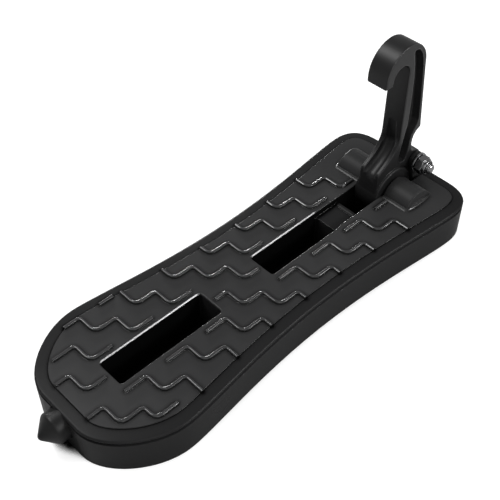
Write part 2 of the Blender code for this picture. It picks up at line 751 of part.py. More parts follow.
def make_bumper(material):
    """Rubber bumper: two cheeks beside the heel and a thick back that bears on the car body."""
    half = half_arm + clearance + bumper_cheek
    bx, bz = bolt_behind_hinge, bolt_above_hinge
    low = -heel_drop + 0.1 * mm
    tip = bumper_reach
    outline = arc(bx, bz, lug_radius - 0.4 * mm, 150, 45, 7)
    outline += [(heel_length + 2.2 * mm, 0.35 * bz), (tip - 1.4 * mm, -0.15 * heel_drop),
                (tip - 0.4 * mm, -0.28 * heel_drop), (tip, -0.42 * heel_drop), (tip, low + 0.9 * mm),
                (tip - 0.9 * mm, low),
                (hub_radius + 3.0 * mm, low), (hub_radius + 3 * clearance, 0.4 * mm)]
    side = shift_outline(outline)[::-1]
    soft = 0.7 * mm
    bumper = side_loft("heel_bumper", side,
                       [(soft, -half), (0.2 * soft, -half + 0.3 * soft), (0.0, -half + soft),
                        (0.0, half - soft), (0.2 * soft, half - 0.3 * soft), (soft, half)], material)
    inner = half_arm + clearance
    hollow = [(bx - 2 * lug_radius, low - mm), (heel_length + clearance, low - mm),
              (heel_length + clearance, bz - 1.5 * lug_radius + clearance),
              (bx + lug_radius + clearance, bz + 0.6 * mm), (bx + lug_radius + clearance, bz + 2 * lug_radius),
              (bx - 2 * lug_radius, bz + 2 * lug_radius)]
    rings = [[(x, y, z) for x, z in shift_outline(hollow)] for y in (-inner, inner)]
    combine(bumper, loft("bumper_inside_guide", rings), "DIFFERENCE")
    hole_radius = bolt_radius + clearance
    hole = turned("bumper_hole_guide", bolt_centre(), "Y",
                  [(-half - mm, hole_radius), (half + mm, hole_radius)], 24)
    combine(bumper, hole, "DIFFERENCE")
    return bumper


def make_fasteners(steel):
    """Cross bolt, its two washers and the lock nut with a round collar."""
    centre = bolt_centre()
    cheek = half_arm + clearance + bumper_cheek + clearance
    seat = cheek + washer_thickness + clearance
    corner = hex_across_flats / math.sqrt(3)
    edge = 0.4 * mm
    end = seat + nut_height + nut_collar_height + bolt_end_reach
    head_top = seat + hex_head_height
    hole_radius = bolt_radius + clearance
    shank = turned("heel_bolt", centre, "Y",
                   [(-end, bolt_radius - edge), (-end + edge, bolt_radius), (seat + mm, bolt_radius)],
                   28, steel)
    head = turned("bolt_head_guide", centre, "Y",
                  [(seat, corner), (head_top - edge, corner), (head_top, corner - edge)], 6)
    combine(shank, head, "UNION")
    for name, side in (("heel_washer_near", -1), ("heel_washer_far", 1)):
        outer = cheek + washer_thickness
        washer = turned(name, centre, "Y", [(side * cheek, washer_radius), (side * outer, washer_radius)],
                        36, steel)
        cut = turned(name + "_hole_guide", centre, "Y",
                     [(side * (cheek - mm), hole_radius), (side * (outer + mm), hole_radius)], 28)
        combine(washer, cut, "DIFFERENCE")
    nut = turned("heel_nut", centre, "Y",
                 [(-seat - nut_height, corner - edge), (-seat - nut_height + edge, corner),
                  (-seat - edge, corner), (-seat, corner - edge)], 6, steel)
    collar = turned("nut_collar_guide", centre, "Y",
                    [(-seat - nut_height - nut_collar_height, 0.40 * hex_across_flats),
                     (-seat - nut_height - 0.6 * nut_collar_height, 0.46 * hex_across_flats),
                     (-seat - 0.5 * nut_height, 0.47 * hex_across_flats)], 28)
    bore = turned("nut_bore_guide", centre, "Y", [(-end - mm, hole_radius), (-seat + mm, hole_radius)], 28)
    combine(nut, collar, "UNION")
    combine(nut, bore, "DIFFERENCE")


def make_tip(material):
    """Pointed tip: cone, short cylinder and a shank that sits in the casting."""
    centre = (along(0), 0, tip_height)
    blunt = tip_blunt_radius
    shoulder = -tip_reach + (tip_radius - blunt) / tip_slope
    seat = tip_pocket_depth - clearance
    soft = 0.4 * mm
    return turned("breaker_tip", centre, "X",
                  [(-tip_reach, 0.3 * blunt), (-tip_reach + 0.15 * blunt, 0.75 * blunt),
                   (-tip_reach + 0.5 * blunt, 1.2 * blunt), (shoulder - soft, tip_radius - 1.2 * soft),
                   (shoulder + 0.4 * soft, tip_radius - 0.3 * soft), (shoulder + 2 * soft, tip_radius),
                   (seat - soft, tip_radius), (seat, tip_radius - soft), (seat, tip_shank_radius),
                   (tip_pocket_depth + tip_shank_length, tip_shank_radius)], 48, material)


def main():
    for thing in list(bpy.data.objects):
        bpy.data.objects.remove(thing)
    black_coat = paint("black_coat", (0.018, 0.018, 0.019), 0.36, 0.0)
    steel = paint("zinc_steel", (0.62, 0.62, 0.60), 0.28, 1.0)
    dark_steel = paint("dark_steel", (0.045, 0.045, 0.047), 0.34, 1.0)
    rubber = paint("black_rubber", (0.012, 0.012, 0.012), 0.72, 0.0)
    make_step_plate(black_coat)
    make_hook_arm(black_coat)
    make_hinge_pin(steel)
    make_bumper(rubber)
    make_fasteners(steel)
    make_tip(dark_steel)


main()
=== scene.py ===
import math

import bmesh
import bpy
import numpy as np
from mathutils import Matrix, Vector


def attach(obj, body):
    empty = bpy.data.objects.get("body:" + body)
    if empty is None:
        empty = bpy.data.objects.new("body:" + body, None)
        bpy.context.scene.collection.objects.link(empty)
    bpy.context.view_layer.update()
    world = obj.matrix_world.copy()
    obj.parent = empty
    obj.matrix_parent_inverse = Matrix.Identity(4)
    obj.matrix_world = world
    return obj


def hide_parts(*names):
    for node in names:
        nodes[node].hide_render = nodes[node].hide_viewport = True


# lengths are in metres, lamp power in watts, angles in degrees

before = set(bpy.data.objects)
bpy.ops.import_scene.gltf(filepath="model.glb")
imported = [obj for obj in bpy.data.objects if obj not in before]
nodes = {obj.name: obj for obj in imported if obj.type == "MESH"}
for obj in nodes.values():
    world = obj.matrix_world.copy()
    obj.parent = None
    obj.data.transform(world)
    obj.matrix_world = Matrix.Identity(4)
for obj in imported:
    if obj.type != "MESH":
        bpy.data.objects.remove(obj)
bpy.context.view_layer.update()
print("frame loaded:", sorted(nodes))


# camera

cameraSettings = {
    "position": (-0.1744, -0.17923, 0.29091),
    "right": (0.7209, -0.6930, 0.0),
    "up": (0.4988, 0.5189, 0.6942),
    "back": (-0.4811, -0.5004, 0.7198),
    "lens": 64.55,
    "shiftUp": -0.0012,
    "sensor": 36.0,
    "clip": (0.01, 20.0),
}


def addCamera(settings):
    # the camera's columns are its right, up and back directions
    data = bpy.data.cameras.new("photoCamera")
    data.lens = settings["lens"]
    data.sensor_width = settings["sensor"]
    data.sensor_fit = "HORIZONTAL"
    data.shift_y = settings["shiftUp"]
    data.clip_start, data.clip_end = settings["clip"]
    camera = bpy.data.objects.new("photoCamera", data)
    bpy.context.scene.collection.objects.link(camera)
    turn = Matrix((settings["right"], settings["up"], settings["back"])).transposed()
    camera.matrix_world = Matrix.Translation(settings["position"]) @ turn.to_4x4()
    bpy.context.scene.camera = camera


addCamera(cameraSettings)
bpy.context.scene.view_settings.view_transform = "Standard"
print("camera placed")


# shader helpers

# the sockets of a Mix node that is set to colours
mixSlots = {"factor": 0, "first": 6, "second": 7, "result": 2}


def feed(tree, value, socket):
    # a number or a colour goes on the socket itself, an output is linked to it
    if isinstance(value, (int, float)):
        socket.default_value = value
    elif isinstance(value, tuple):
        socket.default_value = (*value, 1)
    else:
        tree.links.new(value, socket)


def mathNode(tree, operation, *values):
    # result = operation of the values, in their order
    node = tree.nodes.new("ShaderNodeMath")
    node.operation = operation
    for slot, value in enumerate(values):
        feed(tree, value, node.inputs[slot])
    return node.outputs[0]


def clamped(socket):
    # the same result, kept between 0 and 1
    socket.node.use_clamp = True
    return socket


def rangeNode(tree, value, low=0.0, high=1.0, start=0.0, end=1.0):
    # a straight slide from start to end while the value goes from low to high
    node = tree.nodes.new("ShaderNodeMapRange")
    numbers = {"Value": value, "From Min": low, "From Max": high, "To Min": start, "To Max": end}
    for label, number in numbers.items():
        feed(tree, number, node.inputs[label])
    return node.outputs[0]


def colourMix(tree, mask, first, second):
    # colour = first * (1 - mask) + second * mask; each may be a colour or a socket
    node = tree.nodes.new("ShaderNodeMix")
    node.data_type = "RGBA"
    for label, value in (("factor", mask), ("first", first), ("second", second)):
        feed(tree, value, node.inputs[mixSlots[label]])
    return node.outputs[mixSlots["result"]]


def objectPlace(tree):
    # the point in the object's own coordinates
    return tree.nodes.new("ShaderNodeTexCoord").outputs["Object"]


def objectAxes(tree):
    # the same point as separate X, Y and Z
    split = tree.nodes.new("ShaderNodeSeparateXYZ")
    tree.links.new(objectPlace(tree), split.inputs[0])
    return split.outputs


# lights, world and floor

lightSettings = {
    "strip": {"towards": (0.48, 0.86, 0.13), "distance": 1.2, "size": (0.5, 0.07), "power": 9.0},
    "top": {"towards": (-0.19, 0.50, 0.84), "distance": 1.3, "size": (0.55, 0.55), "power": 9.0},
    "left": {"towards": (-0.45, -0.75, 0.60), "distance": 1.3, "size": (0.8, 0.8), "power": 3.0},
    "right": {"towards": (0.45, -0.80, 0.50), "distance": 1.3, "size": (0.8, 0.8), "power": 1.5},
    "key": {"towards": (0.411, -0.749, 0.52), "distance": 1.2, "size": (0.60, 0.16), "power": 6.0},
}
lightAim = (0.0, 0.0, 0.015)
worldSettings = {"light": 0.25, "gloss": 0.32}
# the darkest floor colour below is a painted shadow where the object closes the floor in
floorSettings = {
    "radius": 3.0, "columns": 96, "roughness": 0.9,
    "colour": (0.60, 0.60, 0.60), "deep": (0.005, 0.005, 0.005),
    "glow": 0.70, "farGlow": 1.0, "far": (0.3, 0.9),
    "reach": 0.05, "samples": 32, "open": (0.38, 0.50), "shut": (0.42, 0.49),
}


def addAreaLight(name, towards, distance, size, power):
    # an area lamp at aim + distance * towards, facing the aim point
    data = bpy.data.lights.new(name, "AREA")
    data.shape = "RECTANGLE"
    data.size, data.size_y = size
    data.energy = power
    lamp = bpy.data.objects.new(name, data)
    bpy.context.scene.collection.objects.link(lamp)
    direction = Vector(towards).normalized()
    lamp.location = Vector(lightAim) + direction * distance
    lamp.rotation_euler = direction.to_track_quat("Z", "Y").to_euler()


for lampName, lampSettings in lightSettings.items():
    addAreaLight(lampName + "Light", **lampSettings)


def buildWorld(settings):
    # white for what the camera sees, a dim white for the light itself and for what the gloss mirrors
    world = bpy.data.worlds.new("paleRoom")
    bpy.context.scene.world = world
    world.use_nodes = True
    tree = world.node_tree
    tree.nodes.clear()
    path = tree.nodes.new("ShaderNodeLightPath")
    glossy = path.outputs["Is Glossy Ray"]
    mirrored = rangeNode(tree, glossy, start=settings["light"], end=settings["gloss"])
    strength = rangeNode(tree, path.outputs["Is Camera Ray"], start=mirrored)
    light = tree.nodes.new("ShaderNodeBackground")
    light.inputs["Color"].default_value = (1, 1, 1, 1)
    tree.links.new(strength, light.inputs["Strength"])
    out = tree.nodes.new("ShaderNodeOutputWorld")
    tree.links.new(light.outputs[0], out.inputs["Surface"])


buildWorld(worldSettings)


def roundAngles(columns):
    # evenly spaced angles, one for each column: 2 pi * column / columns
    return np.linspace(0, 2 * math.pi, columns + 1)[:-1]


def buildFloor(settings):
    # a round disc on z = 0: radius * cos(angle), radius * sin(angle)
    angle = roundAngles(settings["columns"])
    points = np.stack([np.cos(angle), np.sin(angle), 0 * angle], 1) * settings["radius"]
    mesh = bpy.data.meshes.new("floor")
    mesh.from_pydata(points.tolist(), [], [list(range(settings["columns"]))])
    floor = bpy.data.objects.new("floor", mesh)
    bpy.context.scene.collection.objects.link(floor)
    material = bpy.data.materials.new("paleFloor")
    material.use_nodes = True
    tree = material.node_tree
    shader = tree.nodes["Principled BSDF"]
    shader.inputs["Roughness"].default_value = settings["roughness"]
    shader.inputs["Specular IOR Level"].default_value = 0.0
    opening = tree.nodes.new("ShaderNodeAmbientOcclusion")
    opening.samples = settings["samples"]
    opening.inputs["Distance"].default_value = settings["reach"]
    openness = opening.outputs["AO"]
    # the floor is painted dark only where the object closes it in, as under the slots: a painted shadow
    shade = rangeNode(tree, openness, *settings["shut"])
    colour = colourMix(tree, shade, settings["deep"], settings["colour"])
    tree.links.new(colour, shader.inputs["Base Color"])
    # what the camera sees is lifted to white where the floor is open, fully so far from the object; where
    # the object closes it in the lift fades, a painted contact shadow
    length = tree.nodes.new("ShaderNodeVectorMath")
    length.operation = "LENGTH"
    tree.links.new(objectPlace(tree), length.inputs[0])
    glows = (settings["glow"], settings["farGlow"])
    distant = rangeNode(tree, length.outputs["Value"], *settings["far"], *glows)
    lift = rangeNode(tree, openness, *settings["open"], 0.0, distant)
    path = tree.nodes.new("ShaderNodeLightPath")
    shader.inputs["Emission Color"].default_value = (1, 1, 1, 1)
    glow = mathNode(tree, "MULTIPLY", path.outputs["Is Camera Ray"], lift)
    tree.links.new(glow, shader.inputs["Emission Strength"])
    mesh.materials.append(material)


buildFloor(floorSettings)
print("lights, world and floor ready")


# shader groups

grainSettings = {"sockets": {"Fine Scale": 2500.0, "Coarse Scale": 300.0, "Fine Share": 0.7},
                 "fineDetail": 3.0, "coarseDetail": 2.0, "toneScale": 28.0, "toneDetail": 3.0}
edgeSettings = {"sockets": {"Width": 0.0005, "Gain": 6.0}, "samples": 6}
creaseSettings = {"sockets": {"Reach": 0.0008, "Low": 0.68, "High": 0.96}, "samples": 6}
# where the parts of the plate lie in its own coordinates: heights for the pad, ribs, border and bevels,
# and places along X and Y for the bosses, the border and the slots
padPlaces = {
    "Pad Line": 0.01838, "Rib Line": 0.0189, "Blur": 0.00006,
    "Boss Place": 0.0815, "Boss Reach": 0.009, "Boss Half": 0.021,
    "Border Half": 0.015, "Border Place": 0.083, "Border Low": 0.0180, "Border High": 0.01866,
    "Lip Low": 0.0063, "Lip High": 0.0074, "Lip Top": 0.01857, "Wall": 0.0067,
}


def makeGroup(name, sockets, outputs):
    # an empty node group with named number inputs; outputs are names with their socket types
    group = bpy.data.node_groups.new(name, "ShaderNodeTree")
    for label, value in sockets.items():
        socket = group.interface.new_socket(label, in_out="INPUT", socket_type="NodeSocketFloat")
        socket.default_value = value
    for label, kind in outputs.items():
        group.interface.new_socket(label, in_out="OUTPUT", socket_type=kind)
    return group, group.nodes.new("NodeGroupInput").outputs, group.nodes.new("NodeGroupOutput").inputs


def noiseNode(tree, scale, detail):
    # a noise over the object's own coordinates
    noise = tree.nodes.new("ShaderNodeTexNoise")
    noise.inputs["Detail"].default_value = detail
    tree.links.new(objectPlace(tree), noise.inputs["Vector"])
    feed(tree, scale, noise.inputs["Scale"])
    return noise.outputs["Fac"]


def buildGrainGroup(settings):
    # height = fine noise * fine share + coarse noise * (1 - fine share); tone is a slow noise
    kinds = {"Height": "NodeSocketFloat", "Tone": "NodeSocketFloat"}
    group, given, out = makeGroup("castGrain", settings["sockets"], kinds)
    fine = noiseNode(group, given["Fine Scale"], settings["fineDetail"])
    coarse = noiseNode(group, given["Coarse Scale"], settings["coarseDetail"])
    slow = noiseNode(group, settings["toneScale"], settings["toneDetail"])
    rest = mathNode(group, "SUBTRACT", 1.0, given["Fine Share"])
    finePart = mathNode(group, "MULTIPLY", fine, given["Fine Share"])
    coarsePart = mathNode(group, "MULTIPLY", coarse, rest)
    group.links.new(mathNode(group, "ADD", finePart, coarsePart), out["Height"])
    group.links.new(slow, out["Tone"])
    return group


def buildEdgeGroup(settings):
    # edge = gain * (1 - rounded normal . flat normal), at most 1: high on sharp edges, 0 on faces
    kinds = {"Edge": "NodeSocketFloat", "Normal": "NodeSocketVector"}
    group, given, out = makeGroup("edgeMask", settings["sockets"], kinds)
    rounded = group.nodes.new("ShaderNodeBevel")
    rounded.samples = settings["samples"]
    group.links.new(given["Width"], rounded.inputs["Radius"])
    shape = group.nodes.new("ShaderNodeNewGeometry")
    dot = group.nodes.new("ShaderNodeVectorMath")
    dot.operation = "DOT_PRODUCT"
    group.links.new(rounded.outputs[0], dot.inputs[0])
    group.links.new(shape.outputs["Normal"], dot.inputs[1])
    away = mathNode(group, "SUBTRACT", 1.0, dot.outputs["Value"])
    edge = mathNode(group, "MULTIPLY", away, given["Gain"])
    group.links.new(mathNode(group, "MINIMUM", edge, 1.0), out["Edge"])
    group.links.new(rounded.outputs[0], out["Normal"])
    return group


def buildCreaseGroup(settings):
    # crease = how far the nearby surface closes round a point, 0 on open faces and 1 deep in a corner;
    # the finishes paint shade with it
    group, given, out = makeGroup("creaseMask", settings["sockets"], {"Crease": "NodeSocketFloat"})
    opening = group.nodes.new("ShaderNodeAmbientOcclusion")
    opening.samples = settings["samples"]
    opening.only_local = True
    group.links.new(given["Reach"], opening.inputs["Distance"])
    closed = rangeNode(group, opening.outputs["AO"], given["Low"], given["High"], 1.0, 0.0)
    group.links.new(closed, out["Crease"])
    return group


def buildPadGroup(places):
    # pad and rib slide from 0 to 1 over the blur at their height: (height - line) / blur + a half;
    # the other masks are 1 between their own places and 0 elsewhere
    labels = ("Pad", "Rib", "Boss", "Border", "Side", "Lip", "Walls")
    group, given, out = makeGroup("padMask", places, {label: "NodeSocketFloat" for label in labels})
    axes = objectAxes(group)
    across = mathNode(group, "ABSOLUTE", axes["Y"])

    # past and short compare a value with a place; both is the product and without the clamped difference
    def past(value, label):
        return mathNode(group, "GREATER_THAN", value, given[label])

    def short(value, label):
        return mathNode(group, "LESS_THAN", value, given[label])

    def both(first, second):
        return mathNode(group, "MULTIPLY", first, second)

    def without(first, second):
        return clamped(mathNode(group, "SUBTRACT", first, second))

    def above(label):
        height = mathNode(group, "SUBTRACT", axes["Z"], given[label])
        share = mathNode(group, "DIVIDE", height, given["Blur"])
        return clamped(mathNode(group, "ADD", share, 0.5))

    # what stands above the ribs' line is a boss inside a box about the hinge, and a rib outside it
    fromHinge = mathNode(group, "ABSOLUTE", mathNode(group, "SUBTRACT", axes["X"], given["Boss Place"]))
    beside = mathNode(group, "MAXIMUM", past(fromHinge, "Boss Reach"), past(across, "Boss Half"))
    raised = above("Rib Line")
    # the outer part of the plate, with its rim and side wall
    along = mathNode(group, "ABSOLUTE", axes["X"])
    outer = mathNode(group, "MAXIMUM", past(across, "Border Half"), past(along, "Border Place"))
    over = past(axes["Z"], "Border Low")
    # the lip is the bevel at the far edge of the slots, and the walls are the long walls below the bevels
    bevelled = without(both(over, short(axes["Z"], "Lip Top")), outer)
    walls = without(both(past(across, "Lip Low"), short(across, "Wall")), over)
    masks = {
        "Pad": above("Pad Line"),
        "Rib": both(raised, beside),
        "Boss": without(raised, beside),
        "Border": both(outer, both(over, short(axes["Z"], "Border High"))),
        "Side": without(outer, over),
        "Lip": both(both(past(axes["Y"], "Lip Low"), short(axes["Y"], "Lip High")), bevelled),
        "Walls": without(walls, outer),
    }
    for label, mask in masks.items():
        group.links.new(mask, out[label])
    return group


castGrain = buildGrainGroup(grainSettings)
edgeMask = buildEdgeGroup(edgeSettings)
creaseMask = buildCreaseGroup(creaseSettings)
padMask = buildPadGroup(padPlaces)


# finishes

# the edges' paler colour below is edge wear together with a painted edge highlight
finishSettings = {
    "armCoat": {
        "colour": (0.011, 0.011, 0.0113), "edgeWearAndHighlight": (0.035, 0.035, 0.036), "metallic": 0.0,
        "gloss": 0.30, "edgeGloss": 0.9, "roughness": (0.36, 0.42), "edgeRoughness": 0.22,
        "fineScale": 2600.0, "coarseScale": 420.0, "fineShare": 0.65, "bump": 0.12, "bumpDepth": 0.0002,
        "edgeWidth": 0.0006, "edgeGain": 2.0, "creaseReach": 0.0012, "creaseOpen": (0.60, 0.95),
    },
    "treadCoat": {
        "colour": (0.0172, 0.0172, 0.0175), "edgeWearAndHighlight": (0.022, 0.022, 0.0225), "metallic": 0.0,
        "gloss": 0.07, "edgeGloss": 0.8, "roughness": (0.27, 0.33), "edgeRoughness": 0.22,
        "fineScale": 2600.0, "coarseScale": 420.0, "fineShare": 0.65, "bump": 0.12, "bumpDepth": 0.0002,
        "edgeWidth": 0.00028, "edgeGain": 2.0, "creaseReach": 0.002, "creaseOpen": (0.84, 0.98),
    },
    "zincSteel": {
        "colour": (0.27, 0.27, 0.275), "edgeWearAndHighlight": (0.60, 0.60, 0.60), "metallic": 1.0,
        "gloss": 0.5, "edgeGloss": 0.5, "roughness": (0.14, 0.26), "edgeRoughness": 0.2,
        "fineScale": 1800.0, "coarseScale": 500.0, "fineShare": 0.4, "bump": 0.08, "bumpDepth": 0.0001,
        "edgeWidth": 0.00025, "edgeGain": 2.0, "creaseReach": 0.0006, "creaseOpen": (0.60, 0.95),
    },
    "darkSteel": {
        "colour": (0.007, 0.007, 0.0071), "edgeWearAndHighlight": (0.035, 0.035, 0.0355), "metallic": 0.0,
        "gloss": 0.30, "edgeGloss": 0.5, "roughness": (0.30, 0.42), "edgeRoughness": 0.25,
        "fineScale": 1500.0, "coarseScale": 350.0, "fineShare": 0.5, "bump": 0.12, "bumpDepth": 0.0001,
        "edgeWidth": 0.0003, "edgeGain": 2.0, "creaseReach": 0.0008, "creaseOpen": (0.60, 0.95),
    },
    "blackRubber": {
        "colour": (0.011, 0.011, 0.011), "edgeWearAndHighlight": (0.025, 0.025, 0.025), "metallic": 0.0,
        "gloss": 0.25, "edgeGloss": 0.25, "roughness": (0.62, 0.80), "edgeRoughness": 0.6,
        "fineScale": 1600.0, "coarseScale": 260.0, "fineShare": 0.5, "bump": 0.25, "bumpDepth": 0.0002,
        "edgeWidth": 0.0006, "edgeGain": 1.5, "creaseReach": 0.001, "creaseOpen": (0.60, 0.95),
    },
}
# shared by all finishes: the colour of the painted shade in corners, its share of the gloss, the range of
# the slow tone that moves the roughness, and the edge mask at which an edge is fully smooth
wearAndShadeSettings = {"paintedShade": (0.003, 0.003, 0.003), "paintedShadeGloss": 0.2,
                "tone": (0.35, 0.65), "smoothEdge": 0.6}
# the rib tops' paler colour below is a painted highlight, the lip colour a painted glint on the slots'
# far edges, and the border line a painted shade
padSettings = {
    "dark": (0.024, 0.024, 0.0245), "light": (0.032, 0.032, 0.0325), "rubAndSheen": (0.050, 0.050, 0.051),
    "tone": (0.3, 0.7), "roughness": {"Pad": 0.29, "Rib": 0.14, "Boss": 0.45},
    "gloss": {"Pad": 0.25, "Rib": 0.8, "Boss": 0.12}, "ribMetal": 0.35,
    "lipMetal": 0.6, "paintedLipGlint": (0.16, 0.16, 0.162), "lineGain": 5.0, "sideShade": 0.35,
}
# the bare edge colour below is pale metal painted on the hook's upper edges, a painted highlight
polishAndGlintSettings = {"heights": (0.060, 0.082), "roughness": 0.40, "metal": 0.8, "bareGlint": (0.30, 0.30, 0.302)}


def groupNode(tree, group, values):
    # a use of a shader group with its own numbers
    node = tree.nodes.new("ShaderNodeGroup")
    node.node_tree = group
    for label, value in values.items():
        node.inputs[label].default_value = value
    return node.outputs


def padLook(tree, look, tone, masks, pad):
    # the tread pad above its own line is paler, and the rib tops are paler, smoother and partly metallic:
    # a painted highlight along the ribs
    padTone = rangeNode(tree, tone, *pad["tone"])
    padColour = colourMix(tree, padTone, pad["dark"], pad["light"])
    padColour = colourMix(tree, masks["Rib"], padColour, pad["rubAndSheen"])
    look["base"] = colourMix(tree, masks["Pad"], look["base"], padColour)
    for value in ("roughness", "gloss"):
        for label, number in pad[value].items():
            look[value] = rangeNode(tree, masks[label], start=look[value], end=number)
    look["metallic"] = rangeNode(tree, masks["Rib"], end=pad["ribMetal"])
    look["metallic"] = rangeNode(tree, masks["Lip"], start=look["metallic"], end=pad["lipMetal"])
    # a painted shade line runs along the pad's border, where the pad steps down to the rim, in place of
    # the paler edge
    line = mathNode(tree, "MULTIPLY", look["polishedAndLitEdge"], masks["Border"])
    look["line"] = clamped(mathNode(tree, "MULTIPLY", line, pad["lineGain"]))
    look["polishedAndLitEdge"] = clamped(mathNode(tree, "SUBTRACT", look["polishedAndLitEdge"], look["line"]))


def padShade(tree, look, masks, pad):
    # painted shade = the largest of corners, border line and slot walls, with less of it on the groove
    # round the side
    # the slots' far edges get a pale metallic band for the lamp's glint: a painted highlight
    look["base"] = colourMix(tree, masks["Lip"], look["base"], pad["paintedLipGlint"])
    paler = rangeNode(tree, masks["Side"], start=1.0, end=pad["sideShade"])
    shadeShare = mathNode(tree, "MULTIPLY", look["shadeShare"], paler)
    shadeShare = mathNode(tree, "MAXIMUM", shadeShare, look["line"])
    look["shadeShare"] = mathNode(tree, "MAXIMUM", shadeShare, masks["Walls"])


def hookPolishAndGlint(tree, look, polishAndGlint):
    # the hook is rubbed smoother by the latch loop, more so with the height, and its edges there are
    # painted pale bare metal: a painted highlight
    rubAndSheen = rangeNode(tree, objectAxes(tree)["Z"], *polishAndGlint["heights"])
    look["roughness"] = rangeNode(tree, rubAndSheen, start=look["roughness"], end=polishAndGlint["roughness"])
    bareGlint = mathNode(tree, "MULTIPLY", look["polishedAndLitEdge"], rubAndSheen)
    look["metallic"] = rangeNode(tree, bareGlint, end=polishAndGlint["metal"])
    look["base"] = colourMix(tree, bareGlint, look["base"], polishAndGlint["bareGlint"])


def makeFinish(name, settings, pad=None, polishAndGlint=None):
    # colour = base moved to the paler edge colour by the edge mask, edge wear with a painted highlight,
    # then to painted shade by the corner mask; roughness follows the slow tone and falls on edges; bump =
    # bump depth * grain height, over the rounded normal
    material = bpy.data.materials.new(name)
    material.use_nodes = True
    tree = material.node_tree
    shader = tree.nodes["Principled BSDF"]
    grain = groupNode(tree, castGrain, {"Fine Scale": settings["fineScale"],
                                        "Coarse Scale": settings["coarseScale"],
                                        "Fine Share": settings["fineShare"]})
    edges = groupNode(tree, edgeMask, {"Width": settings["edgeWidth"], "Gain": settings["edgeGain"]})
    low, high = settings["creaseOpen"]
    corners = groupNode(tree, creaseMask, {"Reach": settings["creaseReach"], "Low": low, "High": high})
    crease = corners["Crease"]
    # gloss also fades in corners, along with the painted shade
    paintedShadeGloss = wearAndShadeSettings["paintedShadeGloss"] * settings["gloss"]
    look = {
        "base": settings["colour"],
        "metallic": settings["metallic"],
        "roughness": rangeNode(tree, grain["Tone"], *wearAndShadeSettings["tone"], *settings["roughness"]),
        "gloss": rangeNode(tree, crease, start=settings["gloss"], end=paintedShadeGloss),
        "polishedAndLitEdge": edges["Edge"],
        "shadeShare": crease,
    }
    masks = groupNode(tree, padMask, {}) if pad else None
    if pad:
        padLook(tree, look, grain["Tone"], masks, pad)
    # edges go to the paler edge colour, partly a painted highlight
    look["base"] = colourMix(tree, look["polishedAndLitEdge"], look["base"], settings["edgeWearAndHighlight"])
    if polishAndGlint:
        hookPolishAndGlint(tree, look, polishAndGlint)
    if pad:
        padShade(tree, look, masks, pad)
    smooth = wearAndShadeSettings["smoothEdge"]
    rough = rangeNode(tree, look["polishedAndLitEdge"], 0.0, smooth, look["roughness"], settings["edgeRoughness"])
    gloss = rangeNode(tree, look["polishedAndLitEdge"], 0.0, smooth, look["gloss"], settings["edgeGloss"])
    if pad:
        gloss = rangeNode(tree, look["line"], start=gloss, end=0.0)
    bump = tree.nodes.new("ShaderNodeBump")
    bump.inputs["Strength"].default_value = settings["bump"]
    bump.inputs["Distance"].default_value = settings["bumpDepth"]
    tree.links.new(grain["Height"], bump.inputs["Height"])
    tree.links.new(edges["Normal"], bump.inputs["Normal"])
    # corners, the pad's border line and the slot walls go to the painted shade colour
    colour = colourMix(tree, look["shadeShare"], look["base"], wearAndShadeSettings["paintedShade"])
    for label, value in (("Base Color", colour), ("Metallic", look["metallic"]), ("Roughness", rough),
                         ("Specular IOR Level", gloss), ("Normal", bump.outputs[0])):
        feed(tree, value, shader.inputs[label])
    return material


extras = {"armCoat": {"polishAndGlint": polishAndGlintSettings}, "treadCoat": {"pad": padSettings}}
finishes = {name: makeFinish(name, settings, **extras.get(name, {}))
            for name, settings in finishSettings.items()}
print("finishes:", sorted(finishes))


# pieces taken over from the solids

plateSettings = {"crease": 14.0}
armSettings = {"crease": 30.0}
bumperSettings = {"crease": 34.0}
joinSettings = {"same": 2e-6, "sliver": 1e-6, "flat": 0.4}


def linkPiece(name, mesh, crease):
    # a new object whose edges sharper than the crease angle stay sharp
    mesh.shade_smooth()
    mesh.set_sharp_from_angle(angle=math.radians(crease))
    piece = bpy.data.objects.new(name, mesh)
    bpy.context.scene.collection.objects.link(piece)
    return piece


def finishPiece(piece, body, replaced, finishName):
    # material, body and replaced node of one piece
    piece.data.materials.clear()
    piece.data.materials.append(finishes[finishName])
    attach(piece, body)
    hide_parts(replaced)


def smoothCopy(name, node, body, finishName, crease):
    # the solid's own surface with its loose triangles joined and its curved faces shaded as curves
    mesh = nodes[node].data.copy()
    mesh.name = name
    mesh.transform(nodes[node].matrix_world)
    builder = bmesh.new()
    builder.from_mesh(mesh)
    bmesh.ops.remove_doubles(builder, verts=builder.verts, dist=joinSettings["same"])
    bmesh.ops.dissolve_degenerate(builder, dist=joinSettings["sliver"], edges=builder.edges)
    flat = math.radians(joinSettings["flat"])
    bmesh.ops.dissolve_limit(builder, angle_limit=flat, verts=builder.verts, edges=builder.edges)
    bmesh.ops.recalc_face_normals(builder, faces=builder.faces)
    builder.to_mesh(mesh)
    builder.free()
    piece = linkPiece(name, mesh, crease)
    weight = piece.modifiers.new("faceWeight", "WEIGHTED_NORMAL")
    weight.keep_sharp = True
    finishPiece(piece, body, node, finishName)


smoothCopy("castPlate", "step_plate", "step", "treadCoat", plateSettings["crease"])
smoothCopy("castArm", "hook_arm", "hook", "armCoat", armSettings["crease"])
smoothCopy("moulded", "heel_bumper", "hook", "blackRubber", bumperSettings["crease"])
print("plate, arm and bumper taken over")


# turned and threaded pieces

ringCrease = 32.0


